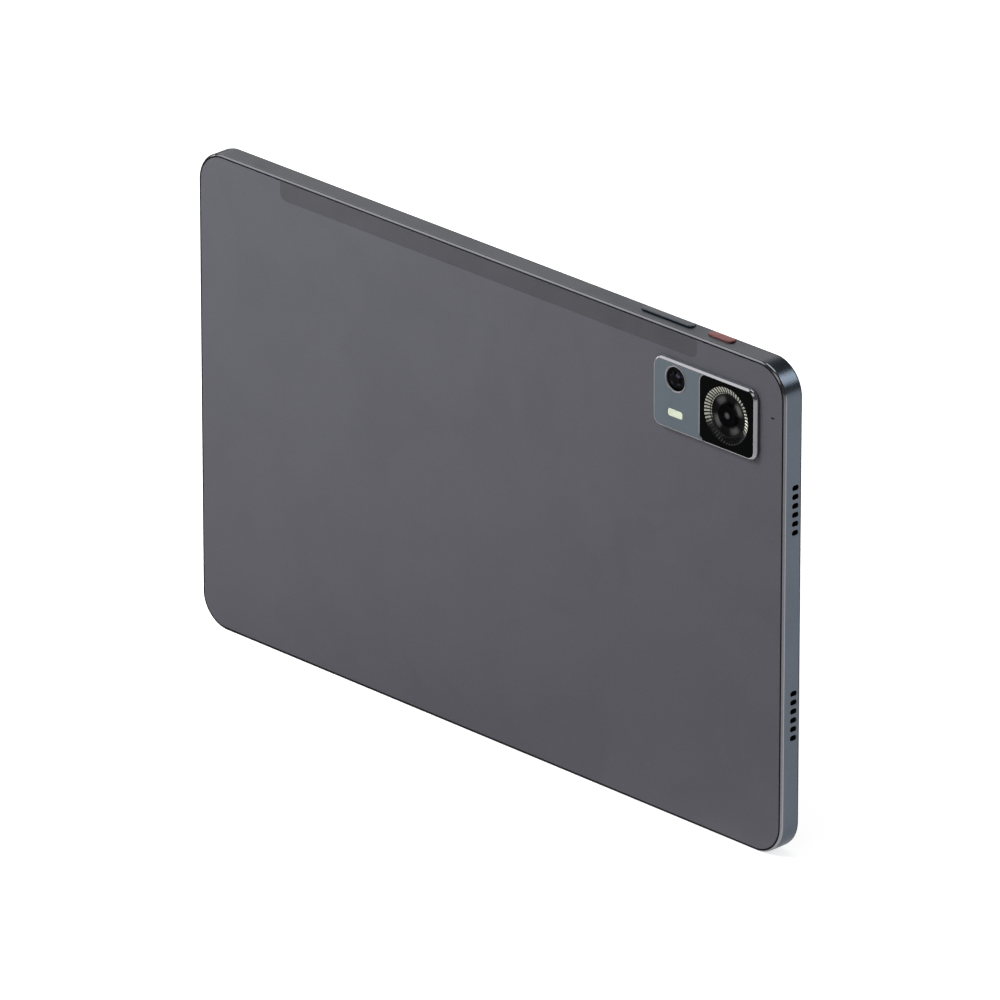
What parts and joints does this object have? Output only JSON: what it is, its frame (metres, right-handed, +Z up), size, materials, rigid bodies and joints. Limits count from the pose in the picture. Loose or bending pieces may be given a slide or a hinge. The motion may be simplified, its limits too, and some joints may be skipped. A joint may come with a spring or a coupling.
{
  "type": "tablet computer",
  "caption": "Slim tablet computer with a metal frame, raised rear camera island, side speakers, sprung keys, charging port and a sliding memory card tray.",
  "frame": {"origin": "middle of the flat lower long edge, half way through the metal frame's depth", "axes": "+X along the length, towards the short side nearest the cameras, -Y out of the rear cover, +Y out of the display, +Z up the short side"},
  "size_m": [0.248, 0.0096, 0.1576],
  "materials": {
    "frame_metal": "graphite anodised, fine bead blast, polished chamfer at the rear edge",
    "cover_metal": "graphite anodised, satin",
    "window_plastic": "painted to match the cover, slightly darker",
    "island_metal": "blue-grey satin face with a bright cut chamfer",
    "polished_metal": "diamond cut",
    "dark_metal": "black spun metal",
    "black_glass": "gloss black printed glass",
    "lens_glass": "coated lens glass",
    "display_glass": "gloss cover glass with a black border",
    "display_stack": "dark panel, switched off",
    "black_plastic": "moulded black",
    "red_metal": "red anodised",
    "flash_diffuser": "cream diffuser",
    "speaker_cloth": "fine black mesh",
    "steel_sheet": "stamped sheet",
    "inner_alloy": "plain rolled sheet",
    "battery_foil": "laminated foil pouch",
    "circuit_board": "solder mask",
    "flex_film": "amber film over copper",
    "antenna_foil": "plated foil"
  },
  "bodies": {
    "body": {"side_frame": "frame_metal", "rear_cover": "cover_metal", "antenna_window": "window_plastic", "camera_island": "island_metal", "camera_glass": "black_glass", "knurled_ring": "polished_metal", "lens_insert": "dark_metal", "main_lens_window": "lens_glass", "main_camera_can": "steel_sheet", "aux_lens_ring": "polished_metal", "aux_lens_window": "lens_glass", "aux_camera": "black_plastic", "flash_lens": "flash_diffuser", "flash_led": "flash_diffuser", "rear_microphone": "steel_sheet", "power_switch": "steel_sheet", "volume_down_switch": "steel_sheet", "volume_up_switch": "steel_sheet", "key_bracket": "steel_sheet", "key_flex": "flex_film", "usb_c_shell": "steel_sheet", "usb_c_tongue": "black_plastic", "usb_board": "circuit_board", "card_socket": "steel_sheet", "speaker_left_lower": "black_plastic", "speaker_left_upper": "black_plastic", "speaker_right_lower": "black_plastic", "speaker_right_upper": "black_plastic", "speaker_mesh_left_lower": "speaker_cloth", "speaker_mesh_left_upper": "speaker_cloth", "speaker_mesh_right_lower": "speaker_cloth", "speaker_mesh_right_upper": "speaker_cloth", "mid_plate": "inner_alloy", "battery_cell_left": "battery_foil", "battery_cell_right": "battery_foil", "battery_board": "circuit_board", "main_board": "circuit_board", "board_screw_1": "steel_sheet", "board_screw_2": "steel_sheet", "board_screw_3": "steel_sheet", "board_screw_4": "steel_sheet", "processor_shield": "steel_sheet", "radio_shield": "steel_sheet", "main_flex": "flex_film", "display_board": "circuit_board", "display_flex": "flex_film", "antenna_left": "antenna_foil", "antenna_right": "antenna_foil", "lcd_panel": "display_stack", "display_glass": "display_glass", "display_bezel": "black_plastic", "front_camera": "black_plastic", "light_sensor": "black_plastic"},
    "power": {"power_key": "red_metal"},
    "volume": {"volume_rocker": "frame_metal"},
    "tray": {"card_tray": "frame_metal"},
    "rod": {"eject_rod": "steel_sheet"},
    "lever": {"eject_lever": "steel_sheet"},
    "focus": {"main_lens_barrel": "black_plastic"}
  },
  "joints": [
    {"name": "power_press", "type": "slide", "parent": "body", "child": "power", "axis": [0, 0, -1], "range_m": [0, 0.0003], "stiffness_N_per_m": 1500, "springref_m": -0.0008},
    {"name": "volume_rock", "type": "hinge", "parent": "body", "child": "volume", "pos_m": [0.0716, 0.0014, 0.1538], "axis": [0, 1, 0], "range_deg": [-1.2, 1.2], "stiffness_Nm_per_rad": 0.5},
    {"name": "tray_slide", "type": "slide", "parent": "body", "child": "tray", "axis": [-1, 0, 0], "range_m": [0, 0.017]},
    {"name": "rod_push", "type": "slide", "parent": "body", "child": "rod", "axis": [1, 0, 0], "range_m": [0, 0.0012]},
    {"name": "lever_swing", "type": "hinge", "parent": "body", "child": "lever", "pos_m": [-0.10445, -0.0002, 0.1341], "axis": [0, -1, 0], "range_deg": [0, 12]},
    {"name": "lens_focus", "type": "slide", "parent": "body", "child": "focus", "axis": [0, -1, 0], "range_m": [0, 0.0003], "stiffness_N_per_m": 60}
  ],
  "couplings": [
    {"joint": "lever_swing", "follows": "rod_push", "rad_per_m": 174.5}
  ]
}
